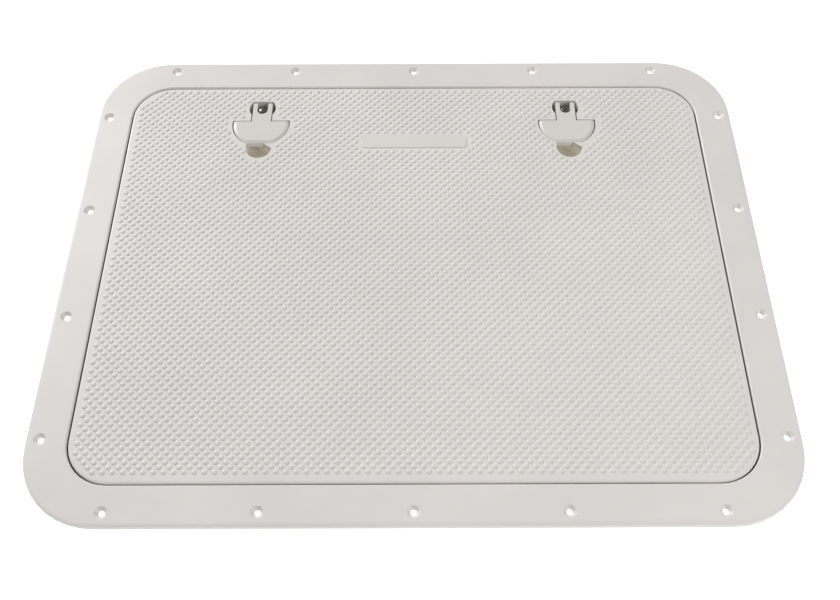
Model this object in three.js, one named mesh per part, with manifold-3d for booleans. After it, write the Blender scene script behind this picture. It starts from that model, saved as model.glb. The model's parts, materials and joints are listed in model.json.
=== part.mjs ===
// A flush deck hatch for a boat: a moulded frame that is screwed over a cut-out in the deck, a hinged
// lid that lies level with the frame, and two lift-up latches that pull the lid down on its seal.
//
// Millimetres. +X runs along the hinge, +Y from the hinge to the latches and +Z up.
// The origin is under the middle of the hatch, level with the bottom of the collar.
// Most shapes are drawn with z = 0 at the top face, so their heights are depths with a minus sign.

import * as THREE from "three";
import { mergeVertices } from "three/addons/utils/BufferGeometryUtils.js";
import Module from "manifold-3d";

const wasm = await Module();
wasm.setup();

// ---------------------------------------------------------------- driving dimensions

const fit = 0.3; // clearance between pieces that touch
const bite = 0.5; // how far the features of one moulding run into each other
const far = 1e3; // past everything, for cuts that run right through

// flange
const flangeLength = 600;
const flangeWidth = 464;
const flangeThickness = 4;
const flangeCornerRadius = 63.6;
const flangeEdgeRadius = 3; // roundover of the outer top edge
const flangeMargin = 32.4; // from the outer edge to the opening for the lid
const lipThickness = 3; // the flange is thinner where it reaches past the collar
const lipChamfer = 0.8;
const openingCornerRadius = 36.5;

// fixing screws, countersunk from above
const screwInset = 11.4; // from the outer edge of the flange
const screwsAlongLength = 5;
const screwsAlongWidth = 4;
const lengthEndSetback = 68.4; // last screw of a long side from the end of the flange
const widthEndSetback = 69.4; // last screw of a short side from the end of the flange
const screwHoleDiameter = 5.2;
const countersinkDiameter = 10;

// collar, gutter and upstand, all part of the frame
const collarDepth = 38; // below the flange
const collarWall = 3;
const collarSetback = 3; // the collar's inner face stands back from the opening
const gutterWidth = 10;
const gutterDepth = 18; // below the top face
const hingeGutterWidth = 27;
const hingeGutterDepth = 27;
const gutterFloor = 3;
const upstandWall = 3;
const upstandDepth = 10.5; // top of the upstand, below the top face
const drainBore = 8;
const drainWall = 2;
const drainLength = 8;
const drainEndInset = 30; // from the collar's inner faces
const drainSideInset = 19.5;

// lid
const lidGap = 1;
const lidThickness = 4;
const lidEdgeRadius = 2.5;
const lidEdgeChamfer = 1.4; // underneath, so that the rear edge clears the frame as it lifts
const ribDepth = 12; // bottom of the ribs, below the top face
const ribWall = 3;
const ribsAlongLength = 3;
const ribsAlongWidth = 5;

// rubber seal, clipped over the upstand
const sealWidth = 7;
const sealSkirt = 3.5; // how far it reaches down the upstand

// blank plate
const plateLength = 97;
const plateWidth = 14;
const plateThickness = 1;
const plateCornerRadius = 3.5;
const plateSetback = 67.1; // from the lid's latch edge to the plate's middle

// hinges: goosenecks that reach round the edge of the flange to a pin underneath it
const hingeOutset = 12; // pin behind the lid's rear edge
const pinDiameter = 3.2;
const knuckleRadius = 3.2;
const knuckleWidth = 16;
const pocketRoof = 2; // what is left of the flange over a hinge
const pocketBack = 5.2; // from the pin to the pocket's rear wall
const pocketWall = 2.5;
const pocketGap = 0.7; // round the bracket
const earThickness = 4;
const earFoot = 3; // how much longer an ear's foot is than its knuckle
const neckInner = 12.8; // inner radius of the gooseneck about the pin
const neckThickness = 3.5;
const neckStart = -100; // degrees about the pin, where its stem goes down
const stemThickness = 4.4;
const pinHeadHeight = 0.5;
const pinHeadOverhang = 0.9;
const armReach = 32; // from the pin to the end of the arm's plate
const armLength = 36;
const armPad = 2; // thickening of the lid over the arm's plate
const padStart = 4; // from the lid's rear edge
const armScrewInset = 5; // from the ends of the arm's plate
const armScrewEndInset = 6;
const armHoleRoof = 0.1;
const armScrewShort = 0.6; // how far its tip stays back from the pad's root
const bracketBase = 3;
const bracketReach = 25; // from the pin to the front of the bracket
const bracketMargin = 1.2; // past the ears
const bracketScrewInset = 4.5; // from the bracket's ends
const bracketScrewFrontInset = 5;
const bracketScrewThrough = 2; // how far its tip comes out below the frame
const smallScrewDiameter = 4;
const smallHeadDiameter = 7;
const smallHeadHeight = 2.2;
const smallSlotWidth = 0.8;
const smallSlotDepth = 1;

// latches: u runs along X and v along Y from the spindle's axis
const latchOffset = 144.3; // from the middle of the hatch
const latchSetback = 26.6; // from the lid's latch edge to the spindle
const spindleDiameter = 8.6;
const spindleTop = 1; // depth of the dome's top
const boreGap = 0.65; // round the spindle, which leaves room for the O-ring
const wellGap = 3.6; // from the lever's neck to the round well
const wellShift = 1; // the well's centre is past the spindle
const wellFarWall = 9.5;
const tubWall = 2.4;
const tubRimWidth = 2; // the rim that is welded to the underside of the lid
const tubRimHeight = 1.5;
const leverThickness = 6;
const leverGap = 1;
const leverEdgeRadius = 1;
const prongWidth = 4; // on each side of the notch
const neckEnd = 6.8; // v of the fork's open end
const notchGap = 0.7; // round the spindle
const notchEndGap = 1.7;
const shoulder = -15.3; // v where the neck widens to the head
const headRadius = 26.1;
const headCentre = -17.7;
const headFlat = -41; // v of the straight front edge
const fingerWidth = 23.5;
const fingerCentre = -47.5;
const fingerDepth = 15;
const fingerUndercut = 11; // how far the recess runs on under the lever
const crossPinDiameter = 3;
const crossPinDepth = 5;
const heelSetback = 1.2; // from the neck's sides
const heelStart = 0.8; // from the heel's outline to its rear face
const heelRadius = 8.3; // from the cross pin to the heel, lever down
const heelDrop = 1.5; // how much less it is with the lever up
const bushFlangeWidth = 1.75;
const bushFlangeHeight = 1.3;
const bushWall = 1.3;
const bushNutHeight = 2;
const bushNutWall = 3.6;
const bushEnd = 0.5; // how far the bush and the spindle stand out of their nuts
const spindleEnd = 1;
const spindleChamfer = 0.8;
const oRingSection = 0.7; // radius of its section
const springHeight = 8.2;
const springWire = 1.2;
const springCoils = 4.5;
const springGap = 0.5; // round the spindle
const washerHeight = 1;
const washerWall = 3.7;
const tongueThickness = 4;
const tongueReach = 26;
const tongueWidth = 14;
const tongueStep = 5.9; // the tip stands this much above the hub
const tongueHubWall = 4.2;
const tongueTipGap = 0.8; // between the hub and the raised tip
const tongueRiser = 5;
const tongueNutHeight = 3.5;
const tongueNutWall = 3.2;
const strikeThickness = 2;
const strikeLength = 30;

// ---------------------------------------------------------------- sizes that follow from them

const totalHeight = collarDepth + flangeThickness;
const openingLength = flangeLength - 2 * flangeMargin;
const openingWidth = flangeWidth - 2 * flangeMargin;
const lidLength = openingLength - 2 * lidGap;
const lidWidth = openingWidth - 2 * lidGap;
const lidCornerRadius = openingCornerRadius - lidGap;

const opening = centred(openingLength, openingWidth, openingCornerRadius);
const lidOutline = centred(lidLength, lidWidth, lidCornerRadius);
const collarInner = grown(opening, collarSetback);
const collarOuter = grown(collarInner, collarWall);
const upstandOuter = grown(collarInner, -gutterWidth);
upstandOuter.y0 = collarInner.y0 + hingeGutterWidth;
const upstandInner = grown(upstandOuter, -upstandWall);
const upstandMiddle = grown(upstandOuter, -upstandWall / 2);

const screwPitch = (flangeLength - 2 * lengthEndSetback) / (screwsAlongLength - 1);
const hingeOffset = 1.5 * screwPitch; // midway between two screws
const hingeY = -lidWidth / 2 - hingeOutset;
const hingeDepth = pocketRoof + fit + knuckleRadius;
const earFrom = knuckleWidth / 2 + fit;
const earTo = earFrom + earThickness;
const bracketHalf = earTo + bracketMargin;
const armTop = hingeDepth - lidThickness - armPad - fit; // these three are heights above the pin
const bracketBottom = hingeDepth - hingeGutterDepth + fit;
const bracketTop = bracketBottom + bracketBase;
const armScrewX = armLength / 2 - armScrewInset;
const armScrewY = armReach - armScrewEndInset;
const bracketScrewX = bracketHalf - bracketScrewInset;
const bracketScrewY = bracketReach - bracketScrewFrontInset;
const latchY = lidWidth / 2 - latchSetback;
const notchWidth = spindleDiameter + 2 * notchGap;
const notchEnd = -spindleDiameter / 2 - notchEndGap; // v of the notch's round end
const neckWidth = notchWidth + 2 * prongWidth;
const heelWidth = neckWidth - 2 * heelSetback;
const wellRadius = neckWidth / 2 + wellGap;
const bushTop = crossPinDepth + heelRadius + fit;
const wellDepth = bushTop + bushFlangeHeight + fit;
const boreRadius = spindleDiameter / 2 + boreGap;
const bushRadius = boreRadius + bushWall;
const bushFlangeRadius = bushRadius + bushFlangeWidth;
const bushNutTop = wellDepth + tubWall + fit;
const bushBottom = bushNutTop + bushNutHeight + bushEnd;
const springTop = bushBottom + fit;
const washerTop = springTop + springHeight + fit;
const tongueTop = washerTop + washerHeight + fit;
const tongueNutTop = tongueTop + tongueThickness + fit;
const spindleBottom = tongueNutTop + tongueNutHeight + spindleEnd;
const ledgeUnderside = gutterDepth + gutterFloor;

// ---------------------------------------------------------------- outlines and solids

function centred(length, width, radius) {
  return { x0: -length / 2, x1: length / 2, y0: -width / 2, y1: width / 2, radius };
}

function grown(r, by) {
  return { x0: r.x0 - by, x1: r.x1 + by, y0: r.y0 - by, y1: r.y1 + by, radius: r.radius + by };
}

function roundedRectangle({ x0, x1, y0, y1, radius }) {
  const shape = new THREE.Shape();
  shape.absarc(x1 - radius, y0 + radius, radius, -Math.PI / 2, 0);
  shape.absarc(x1 - radius, y1 - radius, radius, 0, Math.PI / 2);
  shape.absarc(x0 + radius, y1 - radius, radius, Math.PI / 2, Math.PI);
  shape.absarc(x0 + radius, y0 + radius, radius, Math.PI, 1.5 * Math.PI);
  shape.closePath();
  return shape;
}

function solid(geometry) {
  const bare = geometry.clone();
  bare.deleteAttribute("normal");
  bare.deleteAttribute("uv");
  const merged = mergeVertices(bare, 1e-4);
  return new wasm.Manifold(
    new wasm.Mesh({
      numProp: 3,
      vertProperties: new Float32Array(merged.attributes.position.array),
      triVerts: new Uint32Array(merged.index.array),
    }),
  );
}

// a shape stood up from z0 to z1
function slab(shape, z0, z1, arcSteps = 5) {
  const options = { depth: z1 - z0, bevelEnabled: false, curveSegments: arcSteps };
  return solid(new THREE.ExtrudeGeometry(shape, options).translate(0, 0, z0));
}

// the same with both edges cut back, in one step for a chamfer or more for a roundover
function edgedSlab(shape, z0, z1, edge, edgeSteps, arcSteps = 5) {
  const options = {
    depth: z1 - z0 - 2 * edge,
    curveSegments: arcSteps,
    bevelThickness: edge,
    bevelSize: edge,
    bevelOffset: -edge,
    bevelSegments: edgeSteps,
  };
  return solid(new THREE.ExtrudeGeometry(shape, options).translate(0, 0, z0 + edge));
}

// only the top edge rounded over
function roundedSlab(shape, z0, z1, edge, arcSteps = 5) {
  return edgedSlab(shape, z0 - 3 * edge, z1, edge, 2, arcSteps)
    .subtract(block(-far, far, -far, far, z0 - 9 * edge, z0));
}

function ring(outer, inner, z0, z1) {
  return slab(roundedRectangle(outer), z0, z1).subtract(slab(roundedRectangle(inner), z0 - 1, z1 + 1));
}

function block(x0, x1, y0, y1, z0, z1) {
  const geometry = new THREE.BoxGeometry(x1 - x0, y1 - y0, z1 - z0);
  return solid(geometry.translate((x0 + x1) / 2, (y0 + y1) / 2, (z0 + z1) / 2));
}

// a cylinder about Z
function post(radius, z0, z1, sides = 24) {
  const geometry = new THREE.CylinderGeometry(radius, radius, z1 - z0, sides);
  return solid(geometry.rotateX(Math.PI / 2).translate(0, 0, (z0 + z1) / 2));
}

// a cylinder along X, through y and z
function bar(radius, x0, x1, y, z, sides = 24) {
  const geometry = new THREE.CylinderGeometry(radius, radius, x1 - x0, sides);
  return solid(geometry.rotateZ(Math.PI / 2).translate((x0 + x1) / 2, y, z));
}

// [radius, z] points from the axis round to the axis, turned about Z
function turned(points, sides = 24) {
  const profile = points.map(([radius, z]) => new THREE.Vector2(radius, z));
  return solid(new THREE.LatheGeometry(profile, sides).rotateX(Math.PI / 2));
}

function union(solids) {
  return solids.reduce((whole, next) => whole.add(next));
}

const materials = {
  shell: { color: 0xd6d0c8, roughness: 0.45, metalness: 0 },
  lever: { color: 0xdad5cd, roughness: 0.4, metalness: 0 },
  blank: { color: 0xcfcac2, roughness: 0.35, metalness: 0 },
  rubber: { color: 0x1c1c1e, roughness: 0.8, metalness: 0 },
  steel: { color: 0x9b9ea3, roughness: 0.28, metalness: 1 },
  acetal: { color: 0x2a2b2d, roughness: 0.5, metalness: 0 },
};

function piece(name, shape, material) {
  const made = shape.getMesh();
  const geometry = new THREE.BufferGeometry();
  geometry.setAttribute("position", new THREE.BufferAttribute(made.vertProperties, 3));
  geometry.setIndex(new THREE.BufferAttribute(made.triVerts, 1));
  const mesh = new THREE.Mesh(geometry, new THREE.MeshStandardMaterial(materials[material]));
  mesh.name = name;
  return mesh;
}

// ---------------------------------------------------------------- frame

function evenly(count, span) {
  return Array.from({ length: count }, (_, i) => -span / 2 + (i * span) / (count - 1));
}

function fixingHoles() {
  const alongLength = evenly(screwsAlongLength, flangeLength - 2 * lengthEndSetback);
  const alongWidth = evenly(screwsAlongWidth, flangeWidth - 2 * widthEndSetback);
  const y = flangeWidth / 2 - screwInset;
  const x = flangeLength / 2 - screwInset;
  const places = [
    ...alongLength.flatMap((at) => [[at, y], [at, -y]]),
    ...alongWidth.flatMap((at) => [[x, at], [-x, at]]),
  ];
  const hole = screwHoleDiameter / 2;
  const sink = countersinkDiameter / 2;
  const cutter = turned(
    [[0, -flangeThickness - 1], [hole, -flangeThickness - 1], [hole, hole - sink], [sink, 0], [sink, 1], [0, 1]],
    12,
  );
  return union(places.map(([px, py]) => cutter.translate([px, py, 0])));
}

function drainPlaces() {
  return [-1, 1].map((side) => [side * (collarInner.x1 - drainEndInset), collarInner.y0 + drainSideInset]);
}

function hingePlaces() {
  return [-1, 1].map((side) => [side * hingeOffset, hingeY]);
}

// the space for one hinge under the flange, grown by a wall to make the pocket around it
function pocketSpace(by, z0, z1) {
  const half = bracketHalf + pocketGap + by;
  return block(-half, half, -pocketBack - by, -hingeY + collarInner.y0 + 1, z0, z1);
}

function bracketScrewHoles() {
  const hole = post(smallScrewDiameter / 2 + fit, -hingeGutterDepth - gutterFloor - 1, -hingeGutterDepth + 1, 12);
  return hingePlaces().flatMap(([x, y]) =>
    [-1, 1].map((side) => hole.translate([x + side * bracketScrewX, y + bracketScrewY, 0])));
}

function makeFrame() {
  const flange = roundedSlab(roundedRectangle(centred(flangeLength, flangeWidth, flangeCornerRadius)),
    -flangeThickness, 0, flangeEdgeRadius);
  const collar = ring(collarOuter, collarInner, -totalHeight, -flangeThickness + bite);
  const ledge = ring(grown(collarInner, 1), upstandInner, -ledgeUnderside, -gutterDepth);
  const upstand = ring(upstandOuter, upstandInner, -ledgeUnderside, -upstandDepth);

  // on the hinge side the gutter drops to hold the hinges
  const troughBottom = -hingeGutterDepth - gutterFloor;
  const trough = slab(roundedRectangle(grown(collarInner, 1)), troughBottom, -gutterDepth)
    .intersect(block(-far, far, -far, upstandInner.y0, troughBottom, -gutterDepth));
  const pocket = pocketSpace(pocketWall, troughBottom, -flangeThickness + bite);
  const pockets = hingePlaces().map(([x, y]) => pocket.translate([x, y, 0]));
  const drain = post(drainBore / 2 + drainWall, troughBottom - drainLength, troughBottom + 1, 16);
  const drains = drainPlaces().map(([x, y]) => drain.translate([x, y, 0]));

  const throughOpening = slab(roundedRectangle(opening), -flangeThickness - 1, 1);
  const lipEdge = edgedSlab(roundedRectangle(grown(opening, lipChamfer)), -lipChamfer, 3, lipChamfer, 1);
  const gutterSpace = slab(roundedRectangle(collarInner), -gutterDepth, -lipThickness)
    .subtract(ring(upstandOuter, upstandInner, -gutterDepth - 1, -upstandDepth));
  const troughSpace = slab(roundedRectangle(collarInner), -hingeGutterDepth, -lipThickness)
    .intersect(block(-far, far, -far, upstandOuter.y0, -hingeGutterDepth, -lipThickness));
  const hingeSpace = pocketSpace(0, -hingeGutterDepth, -pocketRoof)
    .add(block(-bracketHalf, bracketHalf, 0, hingeOutset + 1, -hingeDepth, -pocketRoof));
  const hingeSpaces = hingePlaces().map(([x, y]) => hingeSpace.translate([x, y, 0]));
  const bore = post(drainBore / 2, troughBottom - drainLength - 1, -hingeGutterDepth + 1, 16);
  const bores = drainPlaces().map(([x, y]) => bore.translate([x, y, 0]));

  return union([flange, collar, ledge, upstand, trough, ...pockets, ...drains])
    .subtract(union([throughOpening, lipEdge, gutterSpace, troughSpace, ...hingeSpaces]))
    .subtract(union([...bores, fixingHoles(), ...bracketScrewHoles()]));
}

// a U-shaped strip over the upstand, its top just under the lid
function makeSeal() {
  const top = -lidThickness - fit;
  const bottom = -upstandDepth - sealSkirt;
  const side = sealWidth / 2;
  const slot = upstandWall / 2 + fit;
  const body = ring(grown(upstandMiddle, side), grown(upstandMiddle, -side), bottom, top);
  return body.subtract(
    ring(grown(upstandMiddle, slot), grown(upstandMiddle, -slot), bottom - 1, -upstandDepth + fit));
}

// ---------------------------------------------------------------- lid

// the outline of the lever's round head, with its straight front edge
function headShape(by) {
  const radius = headRadius + by;
  const front = headFlat - by;
  const back = shoulder + by;
  const from = Math.asin((back - headCentre) / radius);
  const to = -Math.acos((headCentre - front) / radius) - Math.PI / 2;
  const shape = new THREE.Shape();
  shape.absarc(0, headCentre, radius, from, -Math.PI - to, true);
  shape.absarc(0, headCentre, radius, to, -Math.PI - from, true);
  shape.closePath();
  return shape;
}

function fingerShape(by, from) {
  const radius = fingerWidth / 2 + by;
  const shape = new THREE.Shape();
  shape.moveTo(radius, from);
  shape.absarc(0, fingerCentre, radius, 0, -Math.PI, true);
  shape.lineTo(-radius, from);
  shape.closePath();
  return shape;
}

// the space for one latch, grown by a wall to make the tub around it
function latchSpace(by, top) {
  const floor = leverThickness + leverGap + by;
  const neck = neckWidth / 2 + leverGap + by;
  const well = post(wellRadius + by, -wellDepth - by, top, 32)
    .translate([0, wellShift, 0])
    .subtract(block(-far, far, wellFarWall + by, far, -far, far));
  const channel = block(-neck, neck, headCentre, 0, -floor, top);
  const head = slab(headShape(leverGap + by), -floor, top, 8);
  const undercut = headFlat + fingerUndercut + by;
  const finger = slab(fingerShape(by, undercut), -fingerDepth - by, top, 8);
  return union([well, channel, head, finger]);
}

function latchPlaces() {
  return [[-latchOffset, latchY], [latchOffset, latchY]];
}

function armScrewPlaces() {
  return hingePlaces().flatMap(([x, y]) =>
    [-1, 1].map((side) => [x + side * armScrewX, y + armScrewY]));
}

function makeLid() {
  const panel = roundedSlab(roundedRectangle(lidOutline), -lidThickness, 0, lidEdgeRadius)
    .intersect(edgedSlab(roundedRectangle(lidOutline), -lidThickness, 9, lidEdgeChamfer, 1));

  // ribs stop short of the upstand and its seal
  const ribField = grown(upstandInner, -sealWidth);
  const field = slab(roundedRectangle(ribField), -ribDepth, -lidThickness + bite);
  const border = field.subtract(slab(roundedRectangle(grown(ribField, -ribWall)), -ribDepth - 1, 0));
  const long = (ribField.y1 - ribField.y0) / (ribsAlongLength + 1);
  const short = (ribField.x1 - ribField.x0) / (ribsAlongWidth + 1);
  const lengthRibs = Array.from({ length: ribsAlongLength }, (_, i) => {
    const y = ribField.y0 + (i + 1) * long;
    return block(ribField.x0, ribField.x1, y - ribWall / 2, y + ribWall / 2, -ribDepth, -lidThickness + bite);
  });
  const widthRibs = Array.from({ length: ribsAlongWidth }, (_, i) => {
    const x = ribField.x0 + (i + 1) * short;
    return block(x - ribWall / 2, x + ribWall / 2, ribField.y0, ribField.y1, -ribDepth, -lidThickness + bite);
  });
  const pad = block(-armLength / 2, armLength / 2, hingeOutset + padStart, armReach,
    -lidThickness - armPad, -lidThickness + bite);
  const pads = hingePlaces().map(([x, y]) => pad.translate([x, y, 0]));

  const tubSpace = tubOutside(fit, -lidThickness).add(latchSpace(0, 1));
  const tubCuts = latchPlaces().map(([x, y]) => tubSpace.translate([x, y, 0]));
  const armHole = post(smallScrewDiameter / 2 + fit, -lidThickness - armPad - 1, -lidThickness - armHoleRoof, 12);
  const armHoles = armScrewPlaces().map(([x, y]) => armHole.translate([x, y, 0]));
  const plate = roundedRectangle(grown(centred(plateLength, plateWidth, plateCornerRadius), fit));
  const plateSeat = slab(plate, -plateThickness - fit, 1).translate([0, lidWidth / 2 - plateSetback, 0]);

  return union([panel, border, ...lengthRibs, ...widthRibs, ...pads])
    .subtract(union([...tubCuts, ...armHoles, plateSeat]));
}

// the outside of a latch tub, with the rim at its top
function tubOutside(by, top) {
  const rimBottom = -lidThickness - fit - tubRimHeight - by;
  const rim = latchSpace(tubWall + tubRimWidth + by, top)
    .intersect(block(-far, far, -far, far, rimBottom, top));
  return latchSpace(tubWall + by, top).add(rim);
}

// the cup that a latch sits in, a moulding of its own under the lid
function makeTub() {
  const bushHole = post(bushRadius + fit, -wellDepth - tubWall - 1, -wellDepth + 1);
  return tubOutside(0, -lidThickness - fit).subtract(latchSpace(0, 1)).subtract(bushHole);
}

function makePlate() {
  const shape = roundedRectangle(centred(plateLength, plateWidth, plateCornerRadius));
  return slab(shape, -plateThickness, 0)
    .translate([0, lidWidth / 2 - plateSetback, 0]);
}

// ---------------------------------------------------------------- hinges, drawn about the pin

// a shape drawn in Y and Z, from x0 to x1
function sideSlab(shape, x0, x1, arcSteps = 8) {
  const options = { depth: x1 - x0, bevelEnabled: false, curveSegments: arcSteps };
  const geometry = new THREE.ExtrudeGeometry(shape, options);
  return solid(geometry.rotateX(Math.PI / 2).rotateZ(Math.PI / 2).translate(x0, 0, 0));
}

function screwHoles(x, y, z0, z1) {
  const hole = post(smallScrewDiameter / 2 + fit, z0 - 1, z1 + 1, 12);
  return union([hole.translate([-x, y, 0]), hole.translate([x, y, 0])]);
}

function makeBracket() {
  const base = block(-bracketHalf, bracketHalf, -pocketBack + pocketGap, bracketReach, bracketBottom, bracketTop);
  const shape = new THREE.Shape();
  shape.absarc(0, 0, knuckleRadius, 0, Math.PI);
  shape.lineTo(-knuckleRadius, bracketTop - 1);
  shape.lineTo(knuckleRadius + earFoot, bracketTop - 1);
  shape.closePath();
  const ears = [-earTo, earFrom].map((x) => sideSlab(shape, x, x + earThickness));
  return union([base, ...ears])
    .subtract(bar(pinDiameter / 2 + fit, -bracketHalf, bracketHalf, 0, 0, 16))
    .subtract(screwHoles(bracketScrewX, bracketScrewY, bracketBottom, bracketTop));
}

// stem down from the knuckle, bend under the flange's edge, then a plate under the lid
function neckShape() {
  const start = THREE.MathUtils.degToRad(neckStart);
  const outer = neckInner + neckThickness;
  const shape = new THREE.Shape();
  shape.absarc(0, 0, outer, start, Math.asin((armTop - neckThickness) / outer));
  shape.lineTo(armReach, armTop - neckThickness);
  shape.lineTo(armReach, armTop);
  shape.absarc(0, 0, neckInner, Math.asin(armTop / neckInner), start, true);
  shape.closePath();
  return shape;
}

function makeArm() {
  const half = knuckleWidth / 2;
  const outer = neckInner + neckThickness;
  const knuckle = bar(knuckleRadius, -half, half, 0, 0);
  const stem = block(-half, half, -stemThickness / 2, stemThickness / 2, -outer + fit, 0)
    .rotate([neckStart + 90, 0, 0]);
  const neck = sideSlab(neckShape(), -half, half);
  const plate = block(-armLength / 2, armLength / 2, outer, armReach, armTop - neckThickness, armTop);
  return union([knuckle, stem, neck, plate])
    .subtract(bar(pinDiameter / 2 + fit, -half - 1, half + 1, 0, 0, 16))
    .subtract(screwHoles(armScrewX, armScrewY, armTop - neckThickness, armTop));
}

// headed at one end
function makePin() {
  const radius = pinDiameter / 2;
  const end = earTo + fit;
  const shank = bar(radius, -end, end, 0, 0, 16);
  const head = bar(radius + pinHeadOverhang, -end - pinHeadHeight, -end, 0, 0, 16);
  return shank.add(head);
}

// a pan-head screw with its shank up, its head's top at z = 0
function makeScrew(length) {
  const shank = smallScrewDiameter / 2;
  const head = smallHeadDiameter / 2;
  return turned(
    [[0, -smallHeadHeight], [head * 0.6, -smallHeadHeight], [head, -smallHeadHeight * 0.45], [head, 0],
      [shank, 0], [shank, length - 1], [shank * 0.5, length], [0, length]],
    12,
  ).subtract(block(-head * 0.6, head * 0.6, -smallSlotWidth / 2, smallSlotWidth / 2,
    -smallHeadHeight - 1, -smallHeadHeight + smallSlotDepth));
}

// ---------------------------------------------------------------- latch, drawn about the spindle

// the heel is a spiral about the cross pin, so that the spindle drops as the lever comes up
function heelShape() {
  const shape = new THREE.Shape();
  const steps = 10;
  const radiusAt = (turn) => heelRadius - heelDrop * turn;
  shape.moveTo(-heelRadius + heelStart, 0);
  for (let i = 0; i <= 4; i++) {
    const angle = (-150 + 15 * i) * (Math.PI / 180);
    shape.lineTo(heelRadius * Math.cos(angle), heelRadius * Math.sin(angle));
  }
  for (let i = 1; i <= steps; i++) {
    const angle = (-Math.PI / 2) * (1 - i / steps);
    shape.lineTo(radiusAt(i / steps) * Math.cos(angle), radiusAt(i / steps) * Math.sin(angle));
  }
  shape.closePath();
  return shape;
}

function makeLever() {
  const head = roundedSlab(headShape(0), -leverThickness, 0, leverEdgeRadius, 8);
  const neck = block(-neckWidth / 2, neckWidth / 2, shoulder - 1, neckEnd, -leverThickness, 0);
  const heel = sideSlab(heelShape(), -heelWidth / 2, heelWidth / 2).translate([0, 0, -crossPinDepth]);
  const notchRadius = notchWidth / 2;
  const notch = post(notchRadius, -far, far)
    .translate([0, notchEnd + notchRadius, 0])
    .add(block(-notchRadius, notchRadius, notchEnd + notchRadius, far, -far, far));
  return union([head, neck, heel])
    .subtract(notch)
    .subtract(bar(crossPinDiameter / 2 + fit, -neckWidth, neckWidth, 0, -crossPinDepth, 16));
}

function makeCrossPin() {
  const half = neckWidth / 2 - fit;
  return bar(crossPinDiameter / 2, -half, half, 0, -crossPinDepth, 16);
}

// groove for the O-ring, inside the bush
const grooveTop = bushTop + 2;
const grooveHeight = 2.4;
const grooveRadius = spindleDiameter / 2 - 1.4;

function makeSpindle() {
  const radius = spindleDiameter / 2;
  return turned([
    [0, -spindleBottom], [radius - spindleChamfer, -spindleBottom], [radius, -spindleBottom + spindleChamfer],
    [radius, -grooveTop - grooveHeight], [grooveRadius, -grooveTop - grooveHeight],
    [grooveRadius, -grooveTop], [radius, -grooveTop],
    [radius, -spindleTop - 1.3], [radius * 0.75, -spindleTop - 0.5], [radius * 0.4, -spindleTop - 0.1],
    [0, -spindleTop],
  ]).subtract(bar(crossPinDiameter / 2 + fit, -radius - 1, radius + 1, 0, -crossPinDepth, 16));
}

function makeRing(outerRadius, innerRadius, top, height, outerSides = 24) {
  return post(outerRadius, -top - height, -top, outerSides)
    .subtract(post(innerRadius, -top - height - 1, -top + 1));
}

function makeBush() {
  return post(bushFlangeRadius, -bushTop - bushFlangeHeight, -bushTop)
    .add(post(bushRadius, -bushBottom, -bushTop - 0.5))
    .subtract(post(boreRadius, -bushBottom - 1, -bushTop + 1));
}

function makeORing() {
  const middle = boreRadius - fit - oRingSection;
  const geometry = new THREE.TorusGeometry(middle, oRingSection, 6, 24);
  return solid(geometry.translate(0, 0, -grooveTop - grooveHeight / 2));
}

class Helix extends THREE.Curve {
  constructor(radius, height, turns) {
    super();
    Object.assign(this, { radius, height, turns });
  }
  getPoint(t) {
    const angle = 2 * Math.PI * this.turns * t;
    return new THREE.Vector3(
      this.radius * Math.cos(angle), this.radius * Math.sin(angle), this.height * (t - 0.5));
  }
}

function makeSpring() {
  const wire = springWire / 2;
  const section = new THREE.Shape().absarc(0, 0, wire, 0, 2 * Math.PI);
  const middle = spindleDiameter / 2 + springGap + springWire / 2;
  const path = new Helix(middle, springHeight - springWire, springCoils);
  const geometry = new THREE.ExtrudeGeometry(section, {
    steps: Math.round(springCoils * 12),
    curveSegments: 3,
    bevelEnabled: false,
    extrudePath: path,
  });
  return solid(geometry.translate(0, 0, -springTop - springHeight / 2));
}

// drawn pointing along +X: a hub round the spindle and a tip that stands higher
function makeTongue() {
  const half = tongueWidth / 2;
  const hubRadius = spindleDiameter / 2 + tongueHubWall;
  const tipStart = hubRadius + tongueTipGap;
  const riserEnd = hubRadius + tongueRiser;
  const bottom = -tongueTop - tongueThickness;
  const hub = post(hubRadius, bottom, -tongueTop);
  const riser = block(0, riserEnd, -half, half, bottom, -tongueTop)
    .add(block(tipStart, riserEnd, -half, half, bottom, -tongueTop + tongueStep));
  const tip = block(tipStart, tongueReach, -half, half,
    bottom + tongueStep, -tongueTop + tongueStep);
  const nose = post(tongueReach, -far, 0, 64);
  return union([hub, riser, tip])
    .intersect(nose)
    .subtract(post(spindleDiameter / 2 + fit, bottom - 1, -tongueTop + 1));
}

function makeStrike() {
  const y0 = upstandInner.y1 - latchY;
  const y1 = collarInner.y1 - latchY - fit;
  const top = -ledgeUnderside - fit;
  return block(-strikeLength / 2, strikeLength / 2, y0, y1, top - strikeThickness, top);
}

// ---------------------------------------------------------------- assembly

const hatch = new THREE.Group();
const body = new THREE.Group();
body.position.z = totalHeight;
hatch.add(body);

body.add(piece("frame", makeFrame(), "shell"));
body.add(piece("lid_seal", makeSeal(), "rubber"));
body.add(piece("lid_panel", makeLid(), "shell"));
body.add(piece("blank_plate", makePlate(), "blank"));

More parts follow.
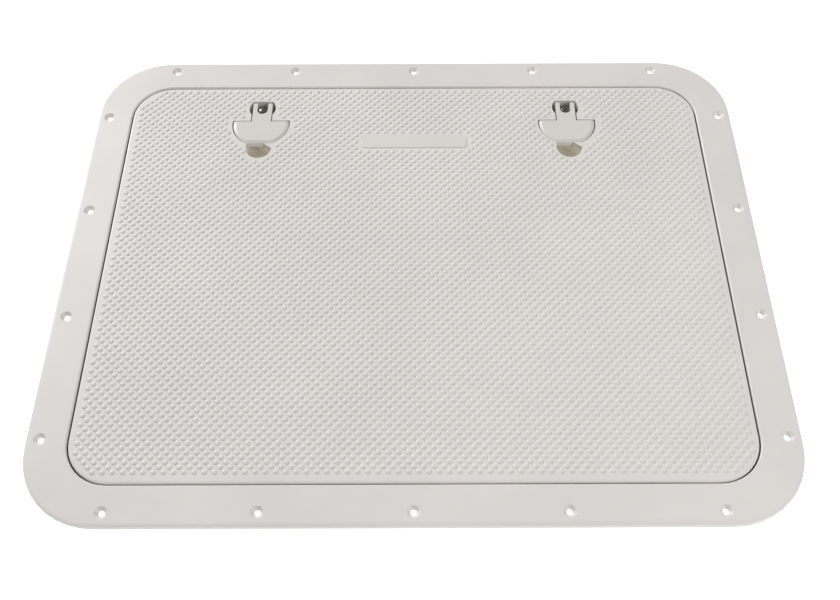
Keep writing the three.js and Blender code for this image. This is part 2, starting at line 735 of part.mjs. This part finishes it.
function hinge(side, x) {
  const group = new THREE.Group();
  group.position.set(x, hingeY, -hingeDepth);
  group.add(piece(side + "_hinge_bracket", makeBracket(), "steel"));
  group.add(piece(side + "_hinge_arm", makeArm(), "steel"));
  group.add(piece(side + "_hinge_pin", makePin(), "steel"));
  const armScrew = makeScrew(neckThickness + fit + armPad - armScrewShort);
  const bracketScrew = makeScrew(bracketBase + gutterFloor + bracketScrewThrough);
  ["left", "right"].forEach((end, i) => {
    const way = 2 * i - 1;
    const up = piece(side + "_arm_screw_" + end, armScrew, "steel");
    up.position.set(way * armScrewX, armScrewY, armTop - neckThickness - fit);
    group.add(up);
    const down = piece(side + "_bracket_screw_" + end, bracketScrew, "steel");
    down.rotation.x = Math.PI;
    down.position.set(way * bracketScrewX, bracketScrewY, bracketTop + fit);
    group.add(down);
  });
  return group;
}

function latch(side, x) {
  const group = new THREE.Group();
  group.position.set(x, latchY, 0);
  group.add(piece(side + "_latch_tub", makeTub(), "shell"));
  group.add(piece(side + "_lever", makeLever(), "lever"));
  group.add(piece(side + "_cross_pin", makeCrossPin(), "steel"));
  group.add(piece(side + "_spindle", makeSpindle(), "steel"));
  group.add(piece(side + "_bush", makeBush(), "acetal"));
  group.add(piece(side + "_bush_nut",
    makeRing(bushRadius + bushNutWall, bushRadius + fit, bushNutTop, bushNutHeight, 6), "acetal"));
  group.add(piece(side + "_o_ring", makeORing(), "rubber"));
  group.add(piece(side + "_spring", makeSpring(), "steel"));
  group.add(piece(side + "_washer",
    makeRing(spindleDiameter / 2 + washerWall, spindleDiameter / 2 + fit, washerTop, washerHeight), "steel"));
  const tongue = piece(side + "_tongue", makeTongue(), "steel");
  tongue.rotation.z = x < 0 ? 0 : Math.PI;
  group.add(tongue);
  group.add(piece(side + "_tongue_nut",
    makeRing(spindleDiameter / 2 + tongueNutWall, spindleDiameter / 2 + fit, tongueNutTop, tongueNutHeight, 6), "steel"));
  group.add(piece(side + "_strike_plate", makeStrike(), "steel"));
  return group;
}

body.add(hinge("left", -hingeOffset));
body.add(hinge("right", hingeOffset));
body.add(latch("left", -latchOffset));
body.add(latch("right", latchOffset));

export default hatch;
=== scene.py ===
import json
import math

import bmesh
import bpy
from mathutils import Matrix, Vector


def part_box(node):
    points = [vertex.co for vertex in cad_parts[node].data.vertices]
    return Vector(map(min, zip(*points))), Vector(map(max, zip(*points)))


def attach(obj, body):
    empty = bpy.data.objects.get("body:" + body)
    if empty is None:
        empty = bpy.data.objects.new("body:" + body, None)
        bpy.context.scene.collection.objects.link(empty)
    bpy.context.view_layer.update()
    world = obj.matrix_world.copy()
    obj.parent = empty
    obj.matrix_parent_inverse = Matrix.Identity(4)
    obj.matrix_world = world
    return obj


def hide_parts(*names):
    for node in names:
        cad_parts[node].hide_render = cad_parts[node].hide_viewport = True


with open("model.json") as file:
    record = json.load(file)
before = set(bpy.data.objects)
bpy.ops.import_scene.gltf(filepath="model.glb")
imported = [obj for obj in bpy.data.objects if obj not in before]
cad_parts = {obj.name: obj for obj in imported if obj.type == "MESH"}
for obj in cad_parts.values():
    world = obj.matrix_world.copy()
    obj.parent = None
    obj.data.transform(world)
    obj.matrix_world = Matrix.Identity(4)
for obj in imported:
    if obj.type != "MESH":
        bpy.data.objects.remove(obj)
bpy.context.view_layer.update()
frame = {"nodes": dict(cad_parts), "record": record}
bodies = frame["record"]["behaviour"]["bodies"]
bodyOf = {node: body for body, nodes in bodies.items() for node in nodes}
print("frame loaded,", len(frame["nodes"]), "nodes")

# Shapes are drawn in millimetres with z = 0 at the hatch's top face, then scaled and lifted to it.
mm = 0.001
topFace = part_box("frame")[1].z
sides = {"left": -1, "right": 1}


def middleOf(node):
    low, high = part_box(node)
    return (low + high) / 2 / mm


latchPlace = {side: middleOf(side + "_spindle") for side in sides}
platePlace = middleOf("blank_plate")


# Materials. Every texture runs in object coordinates.

def newMaterial(name):
    material = bpy.data.materials.new(name)
    material.use_nodes = True
    tree = material.node_tree
    return material, tree, tree.nodes["Principled BSDF"]


def addNode(tree, kind, **values):
    node = tree.nodes.new(kind)
    for key, value in values.items():
        if key in node.inputs:
            node.inputs[key].default_value = value
        else:
            setattr(node, key, value)
    return node


def noiseOn(tree, scale, detail=3.0, stretch=(1, 1, 1)):
    place = addNode(tree, "ShaderNodeTexCoord")
    mapping = addNode(tree, "ShaderNodeMapping")
    mapping.inputs["Scale"].default_value = stretch
    noise = addNode(tree, "ShaderNodeTexNoise", Scale=scale, Detail=detail)
    tree.links.new(place.outputs["Object"], mapping.inputs["Vector"])
    tree.links.new(mapping.outputs["Vector"], noise.inputs["Vector"])
    return noise.outputs["Fac"]


def rampOn(tree, source, low, high, start=0.3, end=0.7):
    ramp = addNode(tree, "ShaderNodeValToRGB")
    stops = ramp.color_ramp.elements
    stops[0].position, stops[0].color = start, low
    stops[1].position, stops[1].color = end, high
    tree.links.new(source, ramp.inputs["Fac"])
    return ramp.outputs["Color"]


def rangeOn(tree, source, low, high):
    span = addNode(tree, "ShaderNodeMapRange")
    span.inputs["To Min"].default_value = low
    span.inputs["To Max"].default_value = high
    tree.links.new(source, span.inputs["Value"])
    return span.outputs["Result"]


def tinted(colour, by):
    return [min(1, c * by) for c in colour] + [1]


def mouldedPlastic(name, colour, rough, grain=0.06):
    # cloudy pigment, a fine moulded grain and a slightly uneven gloss
    material, tree, shader = newMaterial(name)
    cloud = rampOn(tree, noiseOn(tree, 14, 4), tinted(colour, 0.965), tinted(colour, 1.02))
    gloss = rangeOn(tree, noiseOn(tree, 90, 5), rough - 0.06, rough + 0.08)
    tree.links.new(cloud, shader.inputs["Base Color"])
    tree.links.new(gloss, shader.inputs["Roughness"])
    bump = addNode(tree, "ShaderNodeBump", Strength=grain, Distance=0.0002)
    tree.links.new(noiseOn(tree, 1400, 2), bump.inputs["Height"])
    tree.links.new(bump.outputs["Normal"], shader.inputs["Normal"])
    shader.inputs["Specular IOR Level"].default_value = 0.45
    return material


def brushedMetal(name, colour, rough, stretch=(1, 1, 14)):
    material, tree, shader = newMaterial(name)
    streaks = noiseOn(tree, 700, 3, stretch)
    shade = rampOn(tree, streaks, tinted(colour, 0.86), tinted(colour, 1.08))
    gloss = rangeOn(tree, streaks, rough - 0.07, rough + 0.1)
    tree.links.new(shade, shader.inputs["Base Color"])
    tree.links.new(gloss, shader.inputs["Roughness"])
    bump = addNode(tree, "ShaderNodeBump", Strength=0.08, Distance=0.0001)
    tree.links.new(streaks, bump.inputs["Height"])
    tree.links.new(bump.outputs["Normal"], shader.inputs["Normal"])
    shader.inputs["Metallic"].default_value = 1
    return material


def softRubber(name, colour, rough):
    material, tree, shader = newMaterial(name)
    dust = noiseOn(tree, 160, 6)
    shade = rampOn(tree, dust, tinted(colour, 0.8), tinted(colour, 1.35))
    gloss = rangeOn(tree, dust, rough - 0.1, rough + 0.08)
    tree.links.new(shade, shader.inputs["Base Color"])
    tree.links.new(gloss, shader.inputs["Roughness"])
    bump = addNode(tree, "ShaderNodeBump", Strength=0.2, Distance=0.0002)
    tree.links.new(noiseOn(tree, 1100, 3), bump.inputs["Height"])
    tree.links.new(bump.outputs["Normal"], shader.inputs["Normal"])
    shader.inputs["Specular IOR Level"].default_value = 0.3
    return material


finishes = {
    "frame_plastic": mouldedPlastic("frame moulding", (0.72, 0.685, 0.66), 0.42),
    "lid_plastic": mouldedPlastic("lid moulding", (0.72, 0.69, 0.665), 0.46),
    "lever_plastic": mouldedPlastic("lever moulding", (0.69, 0.66, 0.63), 0.36, 0.04),
    "plate_plastic": mouldedPlastic("plate moulding", (0.71, 0.675, 0.645), 0.4, 0.04),
    "rubber": softRubber("seal rubber", (0.035, 0.035, 0.037), 0.7),
    "stainless": brushedMetal("stainless steel", (0.42, 0.41, 0.4), 0.34),
    # the spindles get a darker, browner steel than the other fittings
    "spindle": brushedMetal("dark spindle steel", (0.2, 0.18, 0.17), 0.26),
    # the tub's base colour is brighter and warmer than the lid's; the extra brightness is painted light
    # that lifts the recess floor, which lies in shade
    "tub": mouldedPlastic("tub moulding with painted light", (0.9, 0.86, 0.75), 0.42),
    "acetal": softRubber("acetal", (0.05, 0.05, 0.053), 0.5),
}
print("materials made")


# Helpers shared by the pieces.

def everything(bm):
    return bm.verts[:] + bm.edges[:] + bm.faces[:]


def vertsIn(geometry):
    return [v for v in geometry if isinstance(v, bmesh.types.BMVert)]


def openEdges(bm):
    return [e for e in bm.edges if e.is_boundary]


def closeHoles(bm):
    bmesh.ops.holes_fill(bm, edges=openEdges(bm), sides=0)


def cut(bm, point, outward):
    bmesh.ops.bisect_plane(bm, geom=everything(bm), plane_co=point, plane_no=outward, clear_outer=True)


def bevelEdges(bm, edges, offset, segments):
    return bmesh.ops.bevel(bm, geom=edges, offset=offset, offset_type="OFFSET", segments=segments,
                           profile=0.5, affect="EDGES", material=-1, clamp_overlap=True)


def box(x0, x1, y0, y1, z0, z1):
    bm = bmesh.new()
    bmesh.ops.create_cube(bm, size=1)
    bmesh.ops.scale(bm, vec=(x1 - x0, y1 - y0, z1 - z0), verts=bm.verts)
    bmesh.ops.translate(bm, vec=((x0 + x1) / 2, (y0 + y1) / 2, (z0 + z1) / 2), verts=bm.verts)
    return bm


def rod(radius, length, matrix, segments=48):
    bm = bmesh.new()
    bmesh.ops.create_cone(bm, cap_ends=True, segments=segments, radius1=radius, radius2=radius,
                          depth=length, matrix=matrix)
    return bm


def alongX(x, y, z):
    return Matrix.Translation((x, y, z)) @ Matrix.Rotation(math.pi / 2, 4, "Y")


def uprightEdges(bm):
    return [e for e in bm.edges if abs(e.verts[0].co.z - e.verts[1].co.z) > 1e-4]


def rimEdges(bm, z, minAngle=35):
    # sharp edges that lie at one height
    found = []
    for edge in bm.edges:
        level = all(abs(v.co.z - z) < 1e-3 for v in edge.verts)
        if level and len(edge.link_faces) == 2 and edge.calc_face_angle(0) > math.radians(minAngle):
            found.append(edge)
    return found


def meshOf(bm, name):
    mesh = bpy.data.meshes.new(name)
    bm.to_mesh(mesh)
    bm.free()
    return mesh


def combined(base, tool, operation):
    # a boolean of two closed shapes, worked out at once
    objects = []
    for bm in (base, tool):
        item = bpy.data.objects.new("working shape", meshOf(bm, "working shape"))
        bpy.context.scene.collection.objects.link(item)
        objects.append(item)
    modifier = objects[0].modifiers.new("boolean", "BOOLEAN")
    modifier.operation, modifier.solver, modifier.object = operation, "EXACT", objects[1]
    bpy.context.view_layer.update()
    result = bmesh.new()
    result.from_object(objects[0], bpy.context.evaluated_depsgraph_get())
    for item in objects:
        mesh = item.data
        bpy.data.objects.remove(item)
        bpy.data.meshes.remove(mesh)
    bmesh.ops.remove_doubles(result, verts=result.verts, dist=1e-4)
    return result


def addPiece(bm, name, slotName, body, smoothAngle, stands=(), evenNormals=True, finish=None):
    bmesh.ops.scale(bm, vec=(mm, mm, mm), verts=bm.verts)
    bmesh.ops.translate(bm, vec=(0, 0, topFace), verts=bm.verts)
    mesh = meshOf(bm, name)
    mesh.shade_smooth()
    mesh.set_sharp_from_angle(angle=math.radians(smoothAngle))
    mesh.materials.clear()
    mesh.materials.append(finishes[finish or slotName])
    piece = bpy.data.objects.new(name, mesh)
    bpy.context.scene.collection.objects.link(piece)
    if evenNormals:  # large flats stay flat beside rounded edges
        modifier = piece.modifiers.new("even normals", "WEIGHTED_NORMAL")
        modifier.keep_sharp = True
    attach(piece, body)
    if stands:
        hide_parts(*stands)
    return piece


def mergedCopy(node):
    bm = bmesh.new()
    bm.from_mesh(frame["nodes"][node].data)
    bmesh.ops.scale(bm, vec=(1 / mm, 1 / mm, 1 / mm), verts=bm.verts)
    bmesh.ops.translate(bm, vec=(0, 0, -topFace / mm), verts=bm.verts)
    bmesh.ops.remove_doubles(bm, verts=bm.verts, dist=1e-3)
    bmesh.ops.dissolve_limit(bm, angle_limit=math.radians(0.6), verts=bm.verts, edges=bm.edges)
    return bm


# The frame, lid and tubs keep their built shape; the frame and lid get softened rims.

shellSizes = {
    "frameRimBevel": 0.3,
    "lidRimBevel": 0.45,
    "rimSteps": 2,
    "smoothAngle": 32,
}

frameShell = mergedCopy("frame")
bevelEdges(frameShell, rimEdges(frameShell, 0), shellSizes["frameRimBevel"], shellSizes["rimSteps"])
addPiece(frameShell, "frame_shell", "frame_plastic", "frame", shellSizes["smoothAngle"], ["frame"])

lidShell = mergedCopy("lid_panel")
bevelEdges(lidShell, rimEdges(lidShell, 0), shellSizes["lidRimBevel"], shellSizes["rimSteps"])
addPiece(lidShell, "lid_shell", "lid_plastic", "lid", shellSizes["smoothAngle"], ["lid_panel"])

for side in sides:
    node = side + "_latch_tub"
    # the tubs take the tub finish, whose brighter colour is painted light in the shaded recesses
    addPiece(mergedCopy(node), node + "_shell", "lid_plastic", "lid", shellSizes["smoothAngle"], [node],
             finish="tub")
print("frame, lid and tub shells made")


# The levers, drawn about the top of their spindle.

leverSizes = {
    "thickness": 6,
    "fit": 1,  # gap between the lever and the lid
    "headRadius": 26.1,
    "headCentre": -17.7,
    "headFlat": -41,
    "shoulder": -15.3,
    "bandWidth": 2.7,  # the sloping border of the head
    "bandDrop": 1.2,
    "neckWidth": 18,
    "neckEnd": 6.8,
    "neckStart": -19.3,  # inside the head
    "neckBevel": 0.5,
    "neckBevelSteps": 3,
    "notchWidth": 10,
    "notchEnd": -6,
    "pinDepth": 5,
    "pinHole": 3.6,
    "heelWidth": 15.6,
    "heelRadius": 8.3,
    "heelFlat": -6.4,
    "heelDrop": 1.5,  # the cam falls away by this much through its last quarter turn
    "segments": 96,
    "notchSegments": 64,
    "pinSegments": 32,
    "through": 30,  # more than half of any size, for the cutters
    "smoothAngle": 14,
}


def leverHead(s):
    bm = bmesh.new()
    bmesh.ops.create_circle(bm, cap_ends=True, segments=s["segments"], radius=s["headRadius"],
                            matrix=Matrix.Translation((0, s["headCentre"], 0)))
    cut(bm, (0, s["headFlat"], 0), (0, -1, 0))
    outline = bm.verts[:]
    bmesh.ops.inset_region(bm, faces=bm.faces[:], thickness=s["bandWidth"], use_even_offset=True,
                           use_boundary=True)
    bmesh.ops.translate(bm, vec=(0, 0, -s["bandDrop"]), verts=outline)
    cut(bm, (0, s["shoulder"], 0), (0, 1, 0))
    wall = bmesh.ops.extrude_edge_only(bm, edges=openEdges(bm))["geom"]
    for vert in vertsIn(wall):
        vert.co.z = -s["thickness"]
    closeHoles(bm)
    bmesh.ops.recalc_face_normals(bm, faces=bm.faces)
    return bm


def leverHeel(s):
    bm = rod(s["heelRadius"], s["heelWidth"], alongX(0, 0, 0), s["segments"])
    for vert in bm.verts:
        # 0 is straight down and 1 is towards the edge of the lid
        turn = math.atan2(vert.co.z, vert.co.y) / (math.pi / 2) + 1
        if 0 < turn < 1:
            shrink = 1 - s["heelDrop"] * turn / s["heelRadius"]
            vert.co.y *= shrink
            vert.co.z *= shrink
    cut(bm, (0, 0, 0), (0, 0, 1))
    closeHoles(bm)
    cut(bm, (0, s["heelFlat"], 0), (0, -1, 0))
    closeHoles(bm)
    bmesh.ops.translate(bm, vec=(0, 0, -s["pinDepth"]), verts=bm.verts)
    bmesh.ops.recalc_face_normals(bm, faces=bm.faces)
    return bm


def makeLever(s):
    half = s["neckWidth"] / 2
    lever = leverHead(s)
    neck = box(-half, half, s["neckStart"], s["neckEnd"], -s["thickness"], 0)
    endCorners = [e for e in uprightEdges(neck) if e.verts[0].co.y > 0]
    bevelEdges(neck, endCorners, s["neckBevel"], s["neckBevelSteps"])
    lever = combined(lever, neck, "UNION")
    lever = combined(lever, leverHeel(s), "UNION")
    notchRadius = s["notchWidth"] / 2
    notchMiddle = s["notchEnd"] + notchRadius
    through = s["through"]
    notch = rod(notchRadius, 2 * through, Matrix.Translation((0, notchMiddle, 0)), s["notchSegments"])
    slot = box(-notchRadius, notchRadius, notchMiddle, through, -through, through)
    lever = combined(lever, combined(notch, slot, "UNION"), "DIFFERENCE")
    pinHole = rod(s["pinHole"] / 2, 2 * through, alongX(0, 0, -s["pinDepth"]), s["pinSegments"])
    return combined(lever, pinHole, "DIFFERENCE")


wellSizes = {
    "radius": 12.6,
    "shift": 1,  # its middle is past the spindle
    "farWall": 9.5,
    "fingerRadius": 11.75,
    "fingerCentre": -47.5,
}

for side in sides:
    lever = makeLever(leverSizes)
    bmesh.ops.translate(lever, vec=(latchPlace[side].x, latchPlace[side].y, 0), verts=lever.verts)
    node = side + "_lever"
    addPiece(lever, node + "_shell", "lever_plastic", node, leverSizes["smoothAngle"], [node])
print("levers made")


# The raised face of the blank plate.

plateSizes = {
    "length": 98,
    "width": 15,
    "gap": 0.02,  # over the plate that lies in the seat
    "rise": 0.75,
    "corner": 3.8,
    "cornerSteps": 8,
    "slope": 0.7,
    "slopeSteps": 2,
    "smoothAngle": 25,
}


def makePlate(s):
    halfLength, halfWidth = s["length"] / 2, s["width"] / 2
    bm = box(-halfLength, halfLength, -halfWidth, halfWidth, s["gap"], s["rise"])
    bevelEdges(bm, uprightEdges(bm), s["corner"], s["cornerSteps"])
    bevelEdges(bm, rimEdges(bm, s["rise"]), s["slope"], s["slopeSteps"])
    bmesh.ops.translate(bm, vec=(platePlace.x, platePlace.y, 0), verts=bm.verts)
    return bm


addPiece(makePlate(plateSizes), "plate_face", "plate_plastic", "lid", plateSizes["smoothAngle"])
print("plate made")


# The anti-slip points of the lid, in two halves.

gripSizes = {
    "pitch": 5.466,  # side of one square of the lattice, which is turned 45 degrees
    "count": 128,  # more than enough squares each way
    "halfLength": 260.5,
    "near": -192.5,
    "far": 194,
    "corner": 27,
    "clear": 3.1,  # from a point's middle to the rim of a latch or the plate
    "middleLine": -0.1,  # the points on it belong to the right half
    "sides": 8,
    "rings": [(2.6, -0.12), (2.0, 0.45), (0.95, 0.9)],  # radius and height
    "smoothAngle": 75,
}


def onePoint(s):
    bm = bmesh.new()
    (radius, height), *others = s["rings"]
    bmesh.ops.create_circle(bm, cap_ends=True, segments=s["sides"], radius=radius)
    bmesh.ops.translate(bm, vec=(0, 0, height), verts=bm.verts)
    top, keepBase = bm.faces[:], True
    for nextRadius, nextHeight in others:
        grown = bmesh.ops.extrude_face_region(bm, geom=top, use_keep_orig=keepBase)["geom"]
        if not keepBase:
            bmesh.ops.delete(bm, geom=top, context="FACES_ONLY")
        verts = vertsIn(grown)
        bmesh.ops.scale(bm, vec=(nextRadius / radius, nextRadius / radius, 1), verts=verts)
        bmesh.ops.translate(bm, vec=(0, 0, nextHeight - height), verts=verts)
        top, keepBase = [f for f in grown if isinstance(f, bmesh.types.BMFace)], False
        radius, height = nextRadius, nextHeight
    bmesh.ops.recalc_face_normals(bm, faces=bm.faces)
    return bm


def insideField(x, y, s):
    middle = (s["near"] + s["far"]) / 2
    reachX = abs(x) - (s["halfLength"] - s["corner"])
    reachY = abs(y - middle) - ((s["far"] - s["near"]) / 2 - s["corner"])
    if reachX > 0 and reachY > 0:
        return math.hypot(reachX, reachY) < s["corner"]
    return max(reachX, reachY) < s["corner"]


def nearLatch(x, y, clear):
    lever, well = leverSizes, wellSizes
    aroundHead = lever["fit"] + clear
    for place in latchPlace.values():
        u, v = x - place.x, y - place.y
        onWell = math.hypot(u, v - well["shift"]) < well["radius"] + clear and v < well["farWall"] + clear
        onHead = math.hypot(u, v - lever["headCentre"]) < lever["headRadius"] + aroundHead
        onHead = onHead and lever["headFlat"] - clear < v < lever["shoulder"] + aroundHead
        onNeck = abs(u) < lever["neckWidth"] / 2 + aroundHead and lever["shoulder"] < v < 0
        fromFinger = math.hypot(u, max(0, well["fingerCentre"] - v))
        onFinger = fromFinger < well["fingerRadius"] + clear and v < 0
        if onWell or onHead or onNeck or onFinger:
            return True
    return False


def nearPlate(x, y, clear):
    overX = abs(x - platePlace.x) < plateSizes["length"] / 2 + clear
    return overX and abs(y - platePlace.y) < plateSizes["width"] / 2 + clear


def makeGrip(s, side):
    # one point is doubled along a row and the row across the lid, then the points off this half go
    bm = onePoint(s)
    for axis in ((1, 0, 0), (0, 1, 0)):
        number = 1
        while number < s["count"]:
            copy = bmesh.ops.duplicate(bm, geom=everything(bm))["geom"]
            step = Vector(axis) * number * s["pitch"]
            bmesh.ops.translate(bm, vec=step, verts=vertsIn(copy))
            number *= 2
    middle = number // 2 * s["pitch"]
    bmesh.ops.translate(bm, vec=(-middle, -middle, 0), verts=bm.verts)
    turn = Matrix.Rotation(math.pi / 4, 3, "Z")
    kept = {}
    unwanted = []
    for vert in bm.verts:
        cell = (round(vert.co.x / s["pitch"]), round(vert.co.y / s["pitch"]))
        if cell not in kept:
            x, y, _ = turn @ Vector((cell[0] * s["pitch"], cell[1] * s["pitch"], 0))
            blocked = nearLatch(x, y, s["clear"]) or nearPlate(x, y, s["clear"])
            onThisSide = (x > s["middleLine"]) == (side == "right")
            kept[cell] = onThisSide and insideField(x, y, s) and not blocked
        if not kept[cell]:
            unwanted.append(vert)
    bmesh.ops.delete(bm, geom=unwanted, context="VERTS")
    bmesh.ops.rotate(bm, cent=(0, 0, 0), matrix=turn, verts=bm.verts)
    return bm, sum(kept.values())


for side in sides:
    grip, pointCount = makeGrip(gripSizes, side)
    addPiece(grip, side + "_grip_points", "lid_plastic", "lid", gripSizes["smoothAngle"], evenNormals=False)
    print(side, "grip made,", pointCount, "points")


# The small fittings stay as built; the round ones get smooth copies.

kinds = {
    "stainless": ["hinge_bracket", "hinge_arm", "hinge_pin", "arm_screw_left", "arm_screw_right",
                  "bracket_screw_left", "bracket_screw_right", "cross_pin", "spindle", "spring",
                  "washer", "tongue", "tongue_nut", "strike_plate"],
    "acetal": ["bush", "bush_nut"],
    "rubber": ["o_ring"],
}
roundOnes = ["hinge_arm", "cross_pin", "spindle", "spring", "tongue", "bush", "washer"]


def paint(node, slotName):
    materials = frame["nodes"][node].data.materials
    materials.clear()
    materials.append(finishes[slotName])


paint("lid_seal", "rubber")
paint("blank_plate", "plate_plastic")

for side in sides:
    for slotName, names in kinds.items():
        for kind in names:
            node = side + "_" + kind
            if kind in roundOnes:
                finish = "spindle" if kind == "spindle" else None
                addPiece(mergedCopy(node), node + "_smooth", slotName, bodyOf[node],
                         shellSizes["smoothAngle"], [node], finish=finish)
            else:
                paint(node, slotName)
print("fittings finished")


# Floor, light and camera.

studio = {
    "aimHeight": 0.04,
    "floorSize": 8,
    "floorDrop": 0.0005,
    "floorTone": (0.93, 0.93, 0.93, 1),
    "floorRoughness": 0.9,
    "floorGlow": 0.52,
    "sky": 0.36,
    "keyPlace": (-2.9, 3.0, 2.4),
    "keySize": 1.1,
    "keyPower": 185,
    "fillPlace": (1.5, -1.2, 1.2),
    "fillSize": 1.2,
    "fillPower": 22,
}


def makeFloor(s):
    bm = bmesh.new()
    bmesh.ops.create_grid(bm, x_segments=1, y_segments=1, size=s["floorSize"] / 2)
    bmesh.ops.translate(bm, vec=(0, 0, -s["floorDrop"]), verts=bm.verts)
    floor = bpy.data.objects.new("floor", meshOf(bm, "floor"))
    bpy.context.scene.collection.objects.link(floor)
    material, _, shader = newMaterial("floor paint")
    shader.inputs["Base Color"].default_value = s["floorTone"]
    shader.inputs["Roughness"].default_value = s["floorRoughness"]
    shader.inputs["Emission Color"].default_value = (1, 1, 1, 1)
    shader.inputs["Emission Strength"].default_value = s["floorGlow"]
    floor.data.materials.append(material)


def makeLamp(name, place, size, power):
    lamp = bpy.data.lights.new(name, "AREA")
    lamp.shape, lamp.size, lamp.energy = "DISK", size, power
    lampObject = bpy.data.objects.new(name, lamp)
    lampObject.location = place
    aim = Vector((0, 0, studio["aimHeight"])) - Vector(place)
    lampObject.rotation_euler = aim.to_track_quat("-Z", "Y").to_euler()
    bpy.context.scene.collection.objects.link(lampObject)


makeFloor(studio)
makeLamp("key light", studio["keyPlace"], studio["keySize"], studio["keyPower"])
makeLamp("fill light", studio["fillPlace"], studio["fillSize"], studio["fillPower"])

world = bpy.data.worlds.new("studio")
world.use_nodes = True
background = world.node_tree.nodes["Background"]
background.inputs["Color"].default_value = (1, 1, 1, 1)
background.inputs["Strength"].default_value = studio["sky"]
bpy.context.scene.world = world
bpy.context.scene.view_settings.view_transform = "Standard"

cameraSizes = {
    "place": (0.0057, -0.4288, 0.709),
    "lens": 39.49,
    "sensor": 36,
    "pitch": 59.73,  # degrees below the horizon
    "yaw": -0.069,
    "roll": -0.266,
}


def makeCamera(s):
    pitch, yaw, roll = (math.radians(s[k]) for k in ("pitch", "yaw", "roll"))
    forward = Vector((math.sin(yaw) * math.cos(pitch), math.cos(yaw) * math.cos(pitch), -math.sin(pitch)))
    right = Vector((math.cos(yaw), -math.sin(yaw), 0))
    up = right.cross(forward)
    rolledRight = math.cos(roll) * right + math.sin(roll) * up
    rolledUp = math.cos(roll) * up - math.sin(roll) * right
    camera = bpy.data.cameras.new("camera")
    camera.lens, camera.sensor_width = s["lens"], s["sensor"]
    cameraObject = bpy.data.objects.new("camera", camera)
    turn = Matrix((rolledRight, rolledUp, -forward)).transposed().to_4x4()
    cameraObject.matrix_world = Matrix.Translation(s["place"]) @ turn
    bpy.context.scene.collection.objects.link(cameraObject)
    bpy.context.scene.camera = cameraObject


makeCamera(cameraSizes)
print("studio ready")
